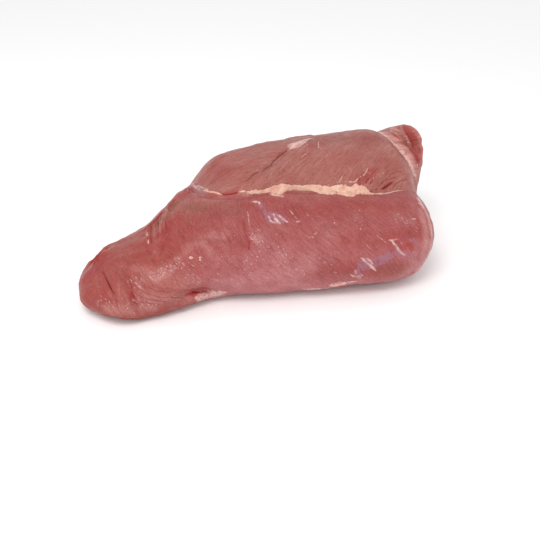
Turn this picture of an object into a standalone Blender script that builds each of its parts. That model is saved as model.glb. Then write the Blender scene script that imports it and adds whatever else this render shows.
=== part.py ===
"""A whole veal bottom round, raw, as it lies on a worktop.

Two muscles lie side by side, each an oval in section: the long front one thins out into a tail
at -X, and the shorter upper one sits behind and above it. A rolled end stands up behind them at
+X. They are grown together, so they are one solid, with a strip of fat in the seam between them.
+Z is up, the flat underside is at Z = 0 and +X runs along the meat, from its tail to its thick end.
"""

import math

import bmesh
import bpy
import numpy as np
from mathutils import Vector
from mathutils.bvhtree import BVHTree

MM = 0.001

# Sections of the long front muscle, from its tail to its thick end, in mm: place along X, centre
# in Y and Z, half depth, half height, and how far the oval leans back, in degrees.
FRONT_MUSCLE = (
    (-174, -21, 15, 38, 15, 0),
    (-150, -21, 18, 47, 22, 0),
    (-110, -15, 21, 53, 30, 3),
    (-72, -9, 34, 53, 42, 8),
    (-20, -16, 41, 56, 43, 14),
    (40, -28, 41, 56, 41, 18),
    (100, -37, 40, 54, 40, 20),
    (155, -34, 40, 48, 37, 18),
)
UPPER_MUSCLE = (
    (-67, 38, 48, 42, 28, 0),
    (-20, 32, 51, 60, 45, 6),
    (40, 30, 50, 68, 51, 9),
    (100, 24, 49, 73, 54, 11),
    (160, 26, 49, 64, 54, 11),
)
ROLLED_END = (
    (138, 54, 56, 40, 34, 0),
    (158, 49, 57, 44, 44, 0),
    (178, 43, 60, 39, 53, 0),
)

# How long the rounded ends are, in mm, and how far the rolled end leans out over +X.
FRONT_ROUNDING = (42, 34)
UPPER_ROUNDING = (58, 30)
END_ROUNDING = (10, 10)
END_LEAN = 0.11

# The skin: its grid in mm, how often it is softened, and its triangles when done.
VOXEL = 2.5
SOFTENING = 16
SKIN_TRIANGLES = 9800

# The underside, in mm: it is flat back from this line and curls up under the front edge.
UNDERSIDE_FLAT_TO = -52
UNDERSIDE_CURL = 0.011
PRESS_SOFTNESS = 5
CURL_START = -95
CURL_FULL = -35

SEAM = (
    (-58, 52, 66),
    (-55, 25, 77),
    (-49, 2, 83),
    (-23, -15, 85),
    (15, -17, 86),
    (59, -27, 84),
    (107, -42, 80),
    (136, -37, 77),
)

# Depth, half width and path of each groove, in mm. A negative depth is a ridge.
GROOVES = (
    ("seam between the muscles", 5.0, 9, SEAM),
    ("crease over the upper muscle", 2.6, 6, ((-16, -3, 90), (0, 2, 94), (27, 23, 99), (44, 38, 102))),
    ("slot at the end of the seam fat", 4.0, 5, ((106, -38, 82), (118, -32, 84))),
    ("first split in the rolled end", 7.0, 6, ((150, 52, 101), (157, 36, 99), (164, 25, 98))),
    ("second split in the rolled end", 11.0, 8, ((167, 50, 104), (165, 32, 102), (167, 14, 91), (167, 8, 82))),
    ("fold on the end face", 5.0, 8, ((180, 24, 84), (183, 44, 92), (181, 60, 72), (178, 46, 52))),
    ("lip of the rolled end", -1.5, 8, ((176, 46, 104), (176, 20, 98), (174, 4, 84))),
    ("notch under the front edge", 8.0, 10, ((-92, -66, 20), (-78, -61, 17), (-60, -60, 14))),
    ("crease across the tail tip", 2.0, 7, ((-150, -30, 39), (-146, -57, 33), (-143, -70, 15))),
    ("fold across the tail", 2.4, 8, ((-132, -46, 42), (-134, -66, 28), (-127, -72, 10))),
    ("cut edge of the tail", 2.5, 7, ((-164, -8, 27), (-153, 0, 35), (-140, 6, 40))),
    ("hump at the shoulder", -4.0, 16, ((-80, 16, 70), (-62, 26, 76))),
    ("slit at the shoulder", 3.5, 7, ((-81, 16, 69), (-81, 6, 71), (-80, -4, 72))),
    ("ridge down from the shoulder", -2.0, 7, ((-86, 14, 66), (-90, -1, 66), (-93, -18, 61))),
    ("fold down from the shoulder", 2.5, 8, ((-88, 8, 64), (-97, 2, 59), (-107, -4, 52))),
    ("dent down the front face", 1.5, 9, ((-22, -30, 81), (-27, -54, 70), (-30, -70, 50))),
)

# Slow unevenness all over: height in mm, then waves per mm along X, Y and Z.
SWELLS = (
    (0.7, 0.011, 0.006, 0.009),
    (0.4, 0.017, -0.014, 0.012),
    (0.25, -0.009, 0.026, 0.021),
)

# The fat in the seam, in mm: place along X, then its back and front edges in Y.
SEAM_FAT = (
    (-15, -10, -14),
    (6, -10, -16),
    (14, -9, -21),
    (24, -11, -15),
    (38, -15, -19),
    (52, -17, -29),
    (79, -25, -38),
    (88, -28, -36),
    (97, -33, -39),
)
FAT_STEPS = 48
FAT_ACROSS = 6
FAT_CROWN = 2.4
FAT_DEPTH = 3.0
FAT_RAGGEDNESS = 0.5
FIT_GAP = 0.4
POCKET_RISE = 6.0

RINGS = 64
RING_POINTS = 48
SQUARENESS = 2.35

FLESH = ("veal flesh", (0.42, 0.13, 0.11), 0.38)
FAT = ("veal fat", (0.80, 0.58, 0.44), 0.45)


def smooth_between(table, at):
    """The other columns of a table at a place along its first column, on a smooth curve."""
    rows = np.array(table, float)
    x = rows[:, 0]
    slopes = np.gradient(rows[:, 1:], x, axis=0)
    i = int(np.clip(np.searchsorted(x, at) - 1, 0, len(x) - 2))
    step = x[i + 1] - x[i]
    t = (at - x[i]) / step
    low_weight = 2 * t**3 - 3 * t**2 + 1
    low = low_weight * rows[i, 1:] + (t**3 - 2 * t**2 + t) * step * slopes[i]
    high = (1 - low_weight) * rows[i + 1, 1:] + (t**3 - t**2) * step * slopes[i + 1]
    return low + high


def blend(low, high, value):
    """0 below low, 1 above high and smooth between."""
    t = np.clip((value - low) / (high - low), 0, 1)
    return t * t * (3 - 2 * t)


def end_fullness(distance, length, power=2.2):
    """How full a section is at a distance from an end that is rounded over a length."""
    reach = min(max(distance / length, 0.0), 1.0)
    return (1 - (1 - reach) ** power) ** (1 / power)


def squarish(value):
    """A sine or cosine pushed outwards, so that the oval it draws has fuller corners."""
    return math.copysign(abs(value) ** (2 / SQUARENESS), value)


def add_muscle(mesh, sections, rounding, end_lean=0.0):
    """A ball drawn out along X to fill oval sections that lean back, with rounded ends."""
    start, end = sections[0][0], sections[-1][0]
    ball = bmesh.ops.create_uvsphere(mesh, u_segments=RING_POINTS, v_segments=RINGS, radius=1)
    for vertex in ball["verts"]:
        angle = math.atan2(vertex.co.y, vertex.co.x)
        x = start + (end - start) * (1 + vertex.co.z) / 2
        y, z, half_depth, half_height, lean = smooth_between(sections, x)
        fullness = end_fullness(x - start, rounding[0]) * end_fullness(end - x, rounding[1])
        across = half_depth * fullness * squarish(math.cos(angle))
        up = half_height * fullness * squarish(math.sin(angle))
        turn = math.radians(lean)
        rise = across * math.sin(turn) + up * math.cos(turn)
        back = across * math.cos(turn) - up * math.sin(turn)
        vertex.co = Vector((x + end_lean * rise, y + back, z + rise)) * MM


def new_object(name, mesh):
    """A scene object from a bmesh, which is used up, with its faces turned outwards."""
    bmesh.ops.recalc_face_normals(mesh, faces=mesh.faces)
    data = bpy.data.meshes.new(name)
    mesh.to_mesh(data)
    mesh.free()
    obj = bpy.data.objects.new(name, data)
    bpy.context.scene.collection.objects.link(obj)
    return obj


def applied(obj):
    """The object with its modifiers made real."""
    graph = bpy.context.evaluated_depsgraph_get()
    data = bpy.data.meshes.new_from_object(obj.evaluated_get(graph))
    obj.modifiers.clear()
    obj.data = data
    return obj


def fused_muscles():
    """The three lobes grown together into one closed skin, with the joins softened."""
    mesh = bmesh.new()
    add_muscle(mesh, FRONT_MUSCLE, FRONT_ROUNDING)
    add_muscle(mesh, UPPER_MUSCLE, UPPER_ROUNDING)
    add_muscle(mesh, ROLLED_END, END_ROUNDING, END_LEAN)
    obj = new_object("meat", mesh)
    fuse = obj.modifiers.new("fuse", "REMESH")
    fuse.mode = "VOXEL"
    fuse.voxel_size = VOXEL * MM
    soften = obj.modifiers.new("soften", "SMOOTH")
    soften.iterations = SOFTENING
    return applied(obj)


def curve_through(corners, step=1.5):
    """Points about a step apart, in mm, on a smooth curve through the corners, and how far along each is."""
    corners = np.array(corners, float)
    lengths = np.concatenate([[0], np.cumsum(np.linalg.norm(np.diff(corners, axis=0), axis=1))])
    table = np.column_stack([lengths, corners])
    places = np.linspace(0, lengths[-1], int(lengths[-1] / step) + 2)
    return np.array([smooth_between(table, place) for place in places]), places / lengths[-1]


def groove_depths(points):
    """How far each point lies below the smooth skin, in mm."""
    depths = np.zeros(len(points))
    for _, depth, half_width, corners in GROOVES:
        path, along = curve_through(corners)
        fade = np.sqrt(np.sin(np.pi * np.clip(along, 0.04, 0.96)))
        reach = np.linalg.norm(points[:, None, :] - path[None, :, :], axis=2) / half_width
        profile = np.clip(1 - reach**2, 0, None) ** 2 * fade
        depths += depth * profile.max(axis=1)
    for height, *waves in SWELLS:
        depths += height * np.sin(2 * math.pi * points @ np.array(waves))
    return depths


def settled(points):
    """The points pressed onto the worktop, with a soft edge round the flat underside."""
    along = blend(CURL_START, CURL_FULL, points[:, 0])
    forward = np.clip(UNDERSIDE_FLAT_TO - points[:, 1], 0, None)
    ground = along * UNDERSIDE_CURL * forward**2
    above = points[:, 2] - ground
    pressed = (np.clip(above, -PRESS_SOFTNESS, PRESS_SOFTNESS) + PRESS_SOFTNESS) ** 2
    pressed /= 4 * PRESS_SOFTNESS
    height = ground + np.where(above > PRESS_SOFTNESS, above, pressed)
    return np.column_stack([points[:, :2], height])


def carve(obj):
    """Sinks the grooves into the skin and presses it flat below."""
    data = obj.data
    points = np.empty(len(data.vertices) * 3, np.float32)
    normals = np.empty(len(data.vertices) * 3, np.float32)
    data.vertices.foreach_get("co", points)
    data.vertex_normals.foreach_get("vector", normals)
    points = points.reshape(-1, 3) / MM
    points = points - groove_depths(points)[:, None] * normals.reshape(-1, 3)
    points = settled(points)
    data.vertices.foreach_set("co", (points * MM).astype(np.float32).ravel())
    data.update()


def thin_out(obj):
    """Brings the skin down to its number of triangles, most of them where it is creased."""
    obj.data.calc_loop_triangles()
    thin = obj.modifiers.new("thin out", "DECIMATE")
    thin.ratio = SKIN_TRIANGLES / len(obj.data.loop_triangles)
    thin.use_collapse_triangulate = True
    return applied(obj)


def fat_edges(x):
    """The back and front edges of the seam fat in Y, uneven as fat is."""
    back, front = smooth_between(SEAM_FAT, x)
    wave = math.sin(x * 0.37) + 0.7 * math.sin(x * 0.71 + 1)
    other = math.sin(x * 0.43 + 2) + 0.7 * math.sin(x * 0.83)
    return back + FAT_RAGGEDNESS * wave, front - FAT_RAGGEDNESS * other


def seam_slab(name, skin, grow, rise, depth):
    """A slab along the seam fat's outline, grown by grow, from depth below the skin to rise above it."""
    start, end = SEAM_FAT[0][0], SEAM_FAT[-1][0]
    mesh = bmesh.new()
    crown = mesh.verts.layers.float.new("crown")
    bmesh.ops.create_grid(mesh, x_segments=FAT_STEPS, y_segments=FAT_ACROSS, size=1)
    for vertex in mesh.verts:
        along, across = (vertex.co.x + 1) / 2, (vertex.co.y + 1) / 2
        x = start + (end - start) * along
        back, front = fat_edges(x)
        y = front - grow + (back - front + 2 * grow) * across
        if not 0.001 < along < 0.999:
            x += grow * vertex.co.x
        vertex[crown] = FAT_CROWN * math.sin(math.pi * (0.08 + 0.84 * across))
        vertex.co = skin.ray_cast(Vector((x, y, 200)) * MM, Vector((0, 0, -1)))[0]
    base = mesh.verts[:]
    bmesh.ops.extrude_face_region(mesh, geom=mesh.faces[:])
    for vertex in set(mesh.verts) - set(base):
        vertex.co.z += (vertex[crown] + rise) * MM
    for vertex in base:
        vertex.co.z -= depth * MM
    bmesh.ops.triangulate(mesh, faces=mesh.faces)
    return new_object(name, mesh)


def cut_away(obj, cutter):
    cut = obj.modifiers.new("pocket", "BOOLEAN")
    cut.operation = "DIFFERENCE"
    cut.solver = "EXACT"
    cut.object = cutter
    applied(obj)
    bpy.data.objects.remove(cutter)


def centre(objects):
    """Moves the meshes so that the middle of their bottom is the origin."""
    corners = [vertex.co for obj in objects for vertex in obj.data.vertices]
    low = [min(point[axis] for point in corners) for axis in range(3)]
    high = [max(point[axis] for point in corners) for axis in range(3)]
    shift = Vector(((low[0] + high[0]) / -2, (low[1] + high[1]) / -2, -low[2]))
    for obj in objects:
        for vertex in obj.data.vertices:
            vertex.co += shift


def paint(obj, look):
    name, colour, roughness = look
    material = bpy.data.materials.new(name)
    material.use_nodes = True
    shader = material.node_tree.nodes["Principled BSDF"]
    shader.inputs["Base Color"].default_value = (*colour, 1)
    shader.inputs["Roughness"].default_value = roughness
    obj.data.materials.clear()
    obj.data.materials.append(material)
    for face in obj.data.polygons:
        face.use_smooth = True


def main():
    for obj in list(bpy.data.objects):
        bpy.data.objects.remove(obj)
    meat = fused_muscles()
    carve(meat)
    skin = BVHTree.FromPolygons(
        [vertex.co for vertex in meat.data.vertices],
        [face.vertices for face in meat.data.polygons],
    )
    fat = seam_slab("seam_fat", skin, 0, 0, FAT_DEPTH)
    pocket = seam_slab("pocket", skin, FIT_GAP, POCKET_RISE, FAT_DEPTH + FIT_GAP)
    thin_out(meat)
    cut_away(meat, pocket)
    centre((meat, fat))
    paint(meat, FLESH)
    paint(fat, FAT)
    veal = bpy.data.collections.new("veal_bottom_round")
    bpy.context.scene.collection.children.link(veal)
    for obj in (meat, fat):
        bpy.context.scene.collection.objects.unlink(obj)
        veal.objects.link(obj)


if __name__ == "__main__":
    main()
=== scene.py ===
"""A raw veal bottom round: its flesh, the fat in its seam, scraps of fat, white threads and a plain stage."""

import math
import random
from functools import partial

import bpy
import numpy as np
from mathutils import Euler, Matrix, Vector, noise
from mathutils.bvhtree import BVHTree
from mathutils.kdtree import KDTree


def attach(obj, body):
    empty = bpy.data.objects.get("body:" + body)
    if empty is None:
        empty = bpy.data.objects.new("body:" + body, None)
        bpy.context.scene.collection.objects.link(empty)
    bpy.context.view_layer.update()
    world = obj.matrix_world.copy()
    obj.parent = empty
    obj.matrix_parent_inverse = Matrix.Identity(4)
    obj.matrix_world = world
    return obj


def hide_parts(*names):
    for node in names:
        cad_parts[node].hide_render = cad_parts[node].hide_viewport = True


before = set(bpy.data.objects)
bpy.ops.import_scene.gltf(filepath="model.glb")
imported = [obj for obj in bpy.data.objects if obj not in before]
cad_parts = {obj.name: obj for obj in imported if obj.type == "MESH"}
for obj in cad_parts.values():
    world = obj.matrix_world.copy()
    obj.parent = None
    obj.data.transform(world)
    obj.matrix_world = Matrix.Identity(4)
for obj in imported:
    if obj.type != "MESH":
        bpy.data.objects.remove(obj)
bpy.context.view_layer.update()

bl_info = {
    "name": "Veal bottom round",
    "version": (1, 0, 0),
    "blender": (4, 5, 0),
    "location": "3D View > Sidebar > Veal",
    "description": "Makes a raw veal bottom round piece by piece over its CAD model",
    "category": "Object",
}

MM = 0.001

# The camera, in metres, degrees and millimetres, and the side of its square picture in pixels.
CAMERA_PLACE = (-0.1693, -0.5463, 0.3470)
CAMERA_TURN = (58.003, -0.343, -17.786)
CAMERA_LENS = 45.27
CAMERA_SENSOR = 36.0
CAMERA_CLIP = 0.01
PICTURE = 540
# Distances along a line of sight that are tried where it misses the skin, in metres: first, last and step.
SIGHT_DISTANCES = (0.45, 0.9, 0.004)

# The floor's side in metres, and the lights: name, power in the sidebar, side and place in metres.
FLOOR_SIZE = 6
LIGHTS = (
    ("Key light", "key_power", 0.45, (-0.35, -0.45, 1.0)),
    ("Fill light", "fill_power", 1.0, (0.15, -1.2, 0.55)),
    ("Side light", "side_power", 0.7, (-1.1, -0.1, 0.5)),
)
LIGHT_TARGET = (0, 0, 0.05)

# CAD vertices closer than this, in mm, are joined, and this is how strongly each pass softens a skin.
MERGE_DISTANCE = 0.01
SOFTENING_FACTOR = 0.5

# Where the seam runs, seen from above, in mm: place along X and in Y, and where it ends at the left.
SEAM = (
    (-58.6, 21), (-52.6, -2), (-26.6, -19), (11.4, -21), (55.4, -31), (103.4, -46), (132.4, -41), (190, -26),
)
SEAM_LEFT_END = -60

# The crease over the upper muscle, seen from above, in mm: a point on it and its slope.
CREASE_START = (-17.6, -6)
CREASE_SLOPE = 0.667

# The edge of the rolled end, seen from above, in mm: place in Y and along X.
ROLLED_END_EDGE = ((-1, 159.4), (5, 154.4), (11, 148.4), (18, 137.4), (38, 135.4))

# The line that the front fibres run round, in mm: place along X, its Y and Z, the radius that turns
# an angle into a length, and how far the fibres drift along X, per mm down the face and per mm squared.
FRONT_FIBRES = (
    (-176, -25, 13, 26, 0.05, 0.0075),
    (-120, -21, 18, 36, 0.05, 0.0055),
    (-90, -16, 30, 48, -0.1, 0.0055),
    (-60, -16, 37, 56, -0.36, 0.0062),
    (0, -25, 37, 57, -0.14, 0.0048),
    (50, -30, 37, 58, 0.25, 0.0025),
    (100, -34, 37, 57, 0.6, 0.0),
    (170, -38, 37, 56, 0.66, 0.0),
)
# The line that the upper fibres run round, in Y and Z, its radius, and their angle to the X axis in
# degrees, behind the crease and in front of it.
UPPER_AXIS = (30, 40)
UPPER_RADIUS = 58
UPPER_ANGLES = (4, 36)
# The angle of the fibres on the end face in degrees, and how far apart the muscles' patterns are kept in mm.
END_ANGLE = -30
REGION_STEP = 400

# The filling of the fat's bed, in mm: how far it grows sideways, and how far its top and the rest sink.
FILLING_GROWTH = 0.8
FILLING_SINKING = (0.8, 0.6)
# Smooth noises that shape the flesh: how much, size in mm and seed. The small ones get stronger along the
# tail, by TAIL_UNEVENNESS from one place to the other along the X axis, in mm.
WIDE_SWELLS = ((1.0, 34, 3),)
SMALL_SWELLS = ((0.5, 15, 5), (0.25, 7, 9))
TAIL_UNEVENNESS = 0.8
TAIL_SPAN = (-60, -110)
# The fibre bundles: how much, how much they are drawn out along the fibres, size in mm and seed.
BUNDLES = ((1.0, 0.13, 6.5, 0), (0.6, 0.16, 3.4, 7))
# Heights over the floor, in mm, where the relief begins and where it is whole.
RELIEF_HEIGHTS = (0.5, 5)

# Where the upper muscle's tone fades in, in mm: behind the seam and along the X axis, with the waves of its
# edge. Lower down, between two heights, that edge is wider and wavier.
UPPER_BEHIND = (-2, 4)
UPPER_ALONG = (-64, -54)
UPPER_WAVES = (2, 9, 11)
SIDE_HEIGHTS = (72, 45)
SIDE_WIDENING = 10
SIDE_WAVES = (14, 32, 19)
# Where the tones low on the front and on the tail fade in, in mm: height, place along X and waves. The
# lighter
#  low tone is partly the muscle's own colour and partly painted bounce light from below.
LOW_HEIGHTS = (78, 20)
LOW_ALONG = (-150, -60)
LOW_WAVES = (8, 30, 13)
TAIL_ALONG = (-50, -110)
TAIL_WAVES = (12, 30, 17)

# Folds, hollows and swells of the flesh: half width in mm, height in mm, and the picture's pixels that each
# runs through.
FOLDS = (
    (2.0, 0.7, ((380, 188.5), (388, 181.7), (397, 178.8))),
    (2.2, 0.8, ((387, 189.5), (393, 184), (401, 178.3), (409, 176.5))),
    (2.2, 0.7, ((394, 190), (400, 185.5), (407, 182.5), (412, 182))),
    (2.2, 0.6, ((373, 182), (381, 174), (391, 168.5), (402, 166.5))),
    (12.0, -5.0, ((427, 144), (429, 156), (428, 168), (426, 180), (421, 191))),
    (6.0, 1.8, ((404, 128), (409, 134), (413, 141), (415.5, 151))),
    (8.0, 3.2, ((186, 192), (190, 189), (195, 186))),
    (3.0, 0.7, ((250, 175), (262, 167.5), (273, 160), (281, 151.5))),
    (2.6, -0.6, ((241.5, 204), (243.5, 216), (246.5, 230))),
    (2.2, -0.4, ((214.9, 211.6), (221.6, 224.9), (232.3, 243.1))),
    (8.0, -3.4, ((326, 292), (340, 291), (355, 289), (370, 288), (386, 285))),
    (9.0, -2.8, ((104, 320), (113, 323), (124, 324), (136, 322))),
    (3.0, 0.5, ((107, 268), (113, 281), (118, 294), (120.5, 308))),
    (4.0, 0.9, ((117, 270), (118, 284), (120, 298), (123, 311))),
    (4.6, -1.4, ((126, 268), (128, 281), (131, 296), (137, 313))),
    (2.0, 0.7, ((129.4, 278.2), (135.2, 282.7), (141.3, 288.2), (148, 292))),
    (2.0, 0.7, ((127.4, 277.6), (133.5, 286.2), (143.2, 292.2), (154.2, 295.3), (167.6, 298.3))),
    (2.0, 0.7, ((128, 288), (134, 294.5), (143, 299.5), (156, 302.5))),
    (2.0, 0.7, ((131, 300), (137.6, 302.9), (146, 306.5), (154, 307))),
    (2.0, 0.7, ((133.5, 275.2), (141, 283), (152, 289.6), (166, 292))),
    (2.0, 0.7, ((139, 272), (147, 280), (158, 286), (171, 288.5))),
    (1.3, -0.5, ((156, 292.3), (168, 292.3), (179, 292))),
    (1.5, -0.5, ((150, 300), (164, 302.5), (180, 303))),
    (1.5, 0.9, ((107.9, 247.8), (102.5, 254.8), (96.5, 260.5), (93.4, 264.5))),
    (18.0, -2.4, ((142, 218), (152, 209), (160, 202), (167, 195))),
    (9.0, -2.4, ((90, 256), (96, 249), (104, 243), (115, 238), (124, 234))),
    (15.0, -1.4, ((218, 150), (232, 144), (252, 140), (272, 136), (284, 134))),
    (7.0, 1.4, ((286, 136), (292, 134), (302, 133), (310, 133))),
    (1.6, 1.4, ((167.6, 206), (167, 212.4), (164.9, 220), (162.7, 229))),
    (1.5, 1.0, ((168.7, 210.2), (168.5, 217), (170, 223))),
    (1.6, 1.0, ((167.6, 209.6), (172.5, 205), (177.9, 200.9))),
    (1.6, 1.1, ((156.1, 221), (154.5, 227.7), (156.1, 238.6))),
    (1.6, 0.9, ((160.5, 216), (160, 225), (161.5, 234))),
    (1.5, 0.9, ((149, 226), (146.5, 232), (147.5, 241))),
    (1.4, 0.8, ((164.7, 210.5), (157, 217.5), (148, 226))),
    (4.0, 0.6, ((170.3, 221), (175.8, 229), (184.5, 244))),
    (1.8, -0.7, ((172, 210.5), (177, 212.5), (184, 213.5))),
    (6.0, 1.4, ((180, 306.5), (190, 302.5), (200, 299))),
    (7.0, 2.6, ((182, 295.5), (192, 294.4), (206, 294))),
)

# Patches of colour on it that fade out: half width in mm, strength and pixels.
PATCHES = {}
PATCHES["red"] = (
    (2.8, 0.7, ((381, 189.2), (386.5, 186.2), (392.5, 182))),
    (6.5, 1.0, ((405, 127), (409.5, 132.5), (413, 139), (415.5, 150), (418, 160))),
    (2.6, 1.0, ((221, 193.6), (226, 194), (231, 193.6), (238, 192))),
    (6.0, 1.0, ((103, 251), (97.5, 257), (90, 266))),
    (7.0, 0.5, ((164, 237), (160, 246))),
)
PATCHES["flush"] = (
    (9.0, 0.7, ((358, 184), (367, 176), (377, 169))),
    (30.0, 0.3, ((212, 172), (228, 164), (250, 160))),
    (26.0, 0.6, ((202, 178), (212, 168), (226, 172))),
    (10.0, 0.5, ((200, 197), (214, 199))),
    (18.0, 0.5, ((212, 158), (240, 148), (275, 142))),
    (26.0, 0.55, ((300, 142), (340, 138), (376, 137))),
    (22.0, 0.25, ((330, 160), (370, 156), (396, 164))),
    (6.0, 0.5, ((418, 216), (421, 228), (420, 240))),
    (6.0, 0.4, ((215, 212), (222, 225), (232, 243))),
    (18.0, 0.4, ((204, 232), (222, 240), (240, 246))),
    (16.0, 0.45, ((262, 200), (300, 212), (330, 208), (365, 206), (400, 212))),
    (26.0, 0.75, ((325, 272), (350, 272), (400, 270))),
    (18.0, 0.55, ((346, 240), (375, 242), (405, 238), (418, 230))),
    (14.0, 0.4, ((384, 256), (398, 250))),
    (14.0, 0.4, ((222, 270), (238, 268), (254, 266))),
    (14.0, 0.4, ((248, 206), (252, 214), (254, 240))),
    (12.0, 0.4, ((276, 238), (284, 240))),
    (14.0, 0.45, ((174, 252), (190, 256))),
    # Painted shade in the valley beside the tail's ridge
    (4.0, 0.5, ((124, 272), (127, 284), (131, 297), (137, 312))),
    (16.0, 0.5, ((86, 292), (94, 298), (104, 300))),
    (15.0, 1.0, ((88, 282), (97, 268), (110, 256))),
    (11.0, 1.0, ((171, 222), (167, 236), (162, 250))),
    (6.0, 0.7, ((175, 214), (181, 220))),
)
PATCHES["pale"] = (
    (10.0, 1.0, ((384, 133), (395, 141), (406, 154), (412, 165), (416, 178))),
    (4.0, 0.6, ((391, 127), (399, 131), (404, 136))),
    (5.0, 0.45, ((202.5, 243.5), (207, 248), (210.5, 255))),
    (8.0, 0.5, ((420, 210), (425, 225), (427, 240), (424, 254))),
    (8.0, 0.15, ((122, 266), (121, 285), (122, 308))),
    (14.0, 0.3, ((134, 268), (158, 280), (196, 282))),
    (14.0, 0.4, ((140, 298), (168, 298), (188, 296))),
    (12.0, 0.4, ((106, 309), (125, 311), (155, 309))),
    # Painted highlights along the ridges of the shoulder's pleats
    (1.8, 0.2, ((167.6, 206), (167, 212.4), (164.9, 220), (162.7, 229))),
    (1.6, 0.2, ((156.1, 221), (154.5, 227.7), (156.1, 238.6))),
    (1.5, 0.2, ((160.5, 216), (160, 225), (161.5, 234))),
    (1.6, 0.2, ((149, 226), (146.5, 232), (147.5, 241))),
    (5.0, 0.9, ((187, 307), (200, 302.5), (214, 298.5), (226, 295))),
)
# The rolled end's salmon-pink rim, painted lighter where it lies in shade: partly its own colour, partly
# painted light
PATCHES["rosy"] = (
    (6.0, 0.9, ((405, 122), (414, 128), (419.5, 138), (421, 150), (420.5, 163))),
)
PATCHES["tan"] = (
    (14.0, 0.85, ((184, 204), (197, 209), (206, 208))),
    (18.0, 0.5, ((200, 206), (220, 206), (240, 210))),
    (22.0, 0.6, ((240, 148), (290, 141), (340, 138), (378, 137))),
    (20.0, 0.3, ((380, 272), (400, 272))),
    (5.0, 0.8, ((112, 245.5), (121, 242.5), (130, 240.5))),
    (8.0, 1.0, ((182, 200), (171, 209), (160, 222), (150, 232))),
    (8.0, 0.6, ((187, 200), (188, 212), (187, 222))),
    (6.0, 0.6, ((112, 248), (124, 243), (138, 238))),
)
# Inside the gash: its own crimson, painted lighter as painted light where the groove lies in shade
PATCHES["vivid"] = (
    (4.6, 1.0, ((184, 294), (191, 292.6), (199, 291.6), (206, 292.2))),
)

# Marks that also stand up or sink in: half width in mm, height in mm, strength and pixels.
MARKS = {}
MARKS["blood"] = (
    (1.3, -1.0, 1.0, ((382.4, 189.3), (386.5, 186.6), (391.6, 182.8))),
    (0.8, -0.6, 0.9, ((364.5, 174.5), (369, 168.9))),
    (0.9, -0.7, 1.0, ((365.6, 183.9), (367, 180.5), (369, 178.1))),
    (0.9, -0.6, 0.9, ((369.6, 184.4), (373, 179.9))),
    (0.8, -0.5, 0.8, ((357.6, 181.6), (360.4, 178.1))),
    (0.7, -0.4, 0.7, ((360.4, 183.9), (361.6, 182.1))),
    (0.8, -0.5, 0.9, ((366.7, 189), (369, 186.7))),
    (0.8, -0.4, 0.7, ((370.2, 191.9), (373, 190.8))),
    (0.8, -0.4, 0.7, ((374.8, 190.2), (377, 188.5))),
    (0.6, -0.5, 0.6, ((390.3, 189.6), (396, 183.9), (401.8, 180.4), (407.5, 179.3))),
    (0.6, -0.5, 0.5, ((378, 186), (387.3, 179.8), (396.2, 177.2))),
    (0.6, -0.5, 0.4, ((381.1, 184.4), (386.3, 178.7), (393.1, 173), (401.8, 170.7))),
    (0.9, -0.6, 0.8, ((391.5, 133.6), (397.2, 136.8), (401.8, 139.6))),
    (1.2, 0.0, 0.3, ((405.5, 130), (408.5, 134.5), (411.6, 139), (414, 144))),
    (1.1, -0.3, 0.6, ((413.6, 144), (415, 148.5), (415.6, 152.5))),
    (1.0, -0.6, 0.7, ((415.5, 152), (417.2, 157), (418.3, 163))),
    (1.0, -0.6, 1.0, ((221, 194.3), (226, 194.8), (231, 194.4), (238, 192.8))),
    (0.5, -0.4, 0.5, ((207.7, 189), (212.9, 188.8))),
    (0.8, -0.5, 0.5, ((243.1, 228.2), (246.4, 234.8), (249.6, 241.5), (249, 249.8))),
    (0.6, -0.4, 0.5, ((333, 256.6), (339.9, 261.9))),
    (0.8, -0.8, 0.8, ((103.1, 271.8), (107.9, 281.5), (111.6, 290.6), (113.7, 294))),
    (0.7, -0.5, 0.4, ((113.7, 294), (115.8, 300), (118.8, 312.4))),
    # Painted shade in the valley beside the tail's ridge
    (3.4, -0.5, 0.45, ((131, 292), (134, 304), (139, 315))),
    (0.5, -0.6, 0.4, ((132.5, 283.5), (139.5, 290), (149, 294.5), (160, 296.8))),
    (0.5, -0.6, 0.4, ((132, 290), (140.5, 297), (152, 300.5), (168, 302.5))),
    (0.5, -0.6, 0.35, ((138, 281), (146, 286.8), (158, 291), (172, 293.5))),
    (0.5, -0.5, 0.35, ((133, 297), (141, 302.5), (152, 304.5), (164, 305))),
    (0.6, -0.5, 0.5, ((158, 297.5), (170, 297.2), (184, 298))),
    (2.4, -0.8, 0.9, ((101, 253.5), (96.5, 257.5), (90.5, 265))),
    (3.2, -0.3, 0.5, ((101.5, 260.5), (105, 257.5), (108, 252))),
    (3.0, -0.2, 0.3, ((81.5, 276), (80.5, 284))),
    (2.4, -0.2, 0.25, ((85, 290), (91, 287.5))),
    (7.0, -0.2, 0.45, ((85, 279), (91, 271), (97, 264), (103, 257))),
    (1.4, -1.0, 0.9, ((168.2, 206.4), (171, 203.5), (175, 199.6))),
    # Painted shade: darker lines in the sunken creases between the shoulder's pleats
    (1.4, -0.9, 0.8, ((163.2, 212.6), (157.2, 218.4), (150, 225.5), (142.5, 231))),
    (1.0, -0.6, 0.5, ((165.8, 223), (166.5, 229), (166, 234))),
    (1.2, -0.7, 0.6, ((158, 222), (158.4, 230), (159, 238))),
    (1.1, -0.6, 0.5, ((163, 218), (162.6, 226), (163.5, 233))),
    (1.3, -0.7, 0.6, ((151.5, 226), (151, 235), (152, 244))),
    (1.4, -0.3, 0.3, ((145, 240), (147.5, 250), (152, 257))),
    (1.6, -0.2, 0.4, ((182, 295.2), (188, 294.6), (194, 295.4))),
    (1.5, -0.4, 0.6, ((189, 292.2), (193, 290.8), (198, 292))),
)
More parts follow.
